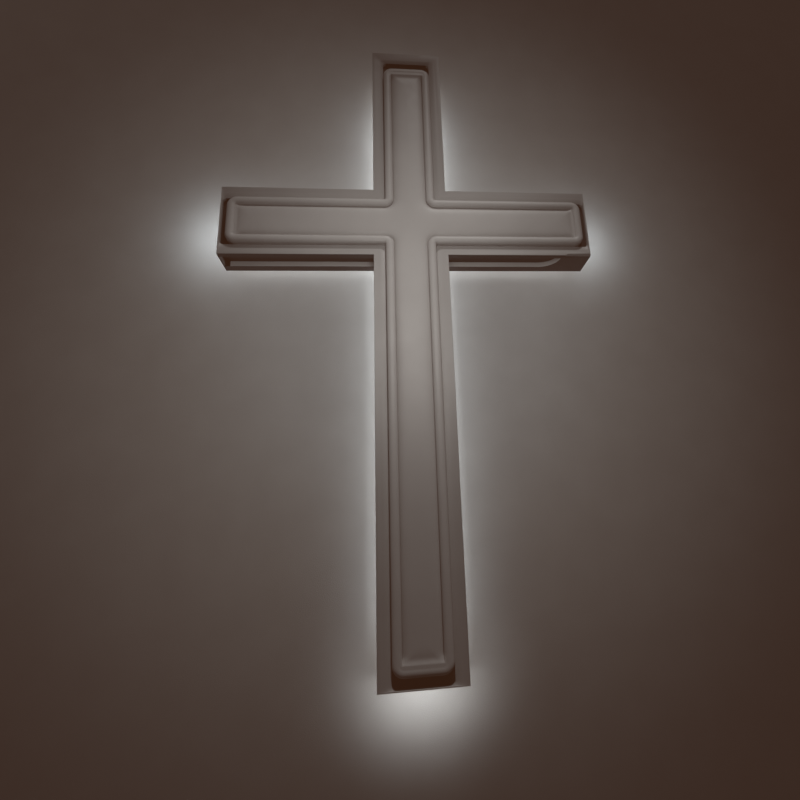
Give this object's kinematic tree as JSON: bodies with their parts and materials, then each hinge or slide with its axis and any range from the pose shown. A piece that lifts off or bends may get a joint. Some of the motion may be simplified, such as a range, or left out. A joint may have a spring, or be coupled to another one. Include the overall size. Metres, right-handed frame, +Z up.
{
  "type": "wall cross",
  "caption": "Deep Latin cross with a moulded face and hidden lamps that light the wall behind it; it hangs on a split batten and lifts off.",
  "frame": {"origin": "middle of the wall cleat's two screw holes, in the plane of the wall, at the height of the cross bar's centre line", "axes": "+Z up the upright, +X along the bar to the viewer's right, +Y into the wall; the moulded face looks along -Y"},
  "size_m": [0.7, 0.1005, 1.2],
  "materials": {
    "face_paint": "satin paint on fine board",
    "box_paint": "satin paint on board",
    "backer_board": "matt white paint on fine board",
    "pine": "planed softwood",
    "plywood": "sanded plywood",
    "zinc_steel": "bright zinc plate",
    "bumper_rubber": "matt black",
    "anodised": "satin anodised",
    "led_tape": "white flexible circuit",
    "opal": "opal, lit",
    "cap_plastic": "moulded grey",
    "junction_plastic": "moulded black",
    "lead_sheath": "round sheathed lead",
    "driver_case": "moulded white",
    "gland_nylon": "moulded nylon"
  },
  "bodies": {
    "wall_bracket": {"wall_cleat": "plywood"},
    "cross": {"bead_frame": "face_paint", "bracket_screws": "zinc_steel", "channel_end_caps": "cap_plastic", "cleat_packer": "pine", "cleat_screws": "zinc_steel", "corner_blocks": "pine", "cross_cleat": "plywood", "driver_lead": "lead_sheath", "driver_screws": "zinc_steel", "face_frame": "face_paint", "field_panel": "face_paint", "foot_blocks": "pine", "foot_bumpers": "bumper_rubber", "foot_return": "box_paint", "foot_standoffs": "pine", "gland_bracket": "zinc_steel", "gland_nut": "gland_nylon", "hanging_rail": "pine", "junction_block": "junction_plastic", "junction_screws": "zinc_steel", "lead_clips": "cap_plastic", "led_driver": "driver_case", "led_leads": "lead_sheath", "left_arm_end": "box_paint", "left_arm_top": "box_paint", "left_diffuser": "opal", "left_led_channel": "anodised", "left_led_tape": "led_tape", "left_soffit": "box_paint", "left_soffit_rail": "box_paint", "lower_diffuser": "opal", "lower_led_channel": "anodised", "lower_led_tape": "led_tape", "lower_left_return": "box_paint", "lower_right_return": "box_paint", "panel_backer": "backer_board", "right_arm_end": "box_paint", "right_arm_top": "box_paint", "right_diffuser": "opal", "right_led_channel": "anodised", "right_led_tape": "led_tape", "right_soffit": "box_paint", "right_soffit_end_block": "box_paint", "right_soffit_rail": "box_paint", "standoff_screws": "zinc_steel", "stiffening_ribs": "pine", "supply_gland": "gland_nylon", "top_return": "box_paint", "upper_diffuser": "opal", "upper_led_channel": "anodised", "upper_led_tape": "led_tape", "upper_left_return": "box_paint", "upper_right_return": "box_paint"}
  },
  "joints": [
    {"name": "lift_off", "type": "slide", "parent": "wall_bracket", "child": "cross", "axis": [0, 0, 1], "range_m": [0, 0.025]}
  ]
}
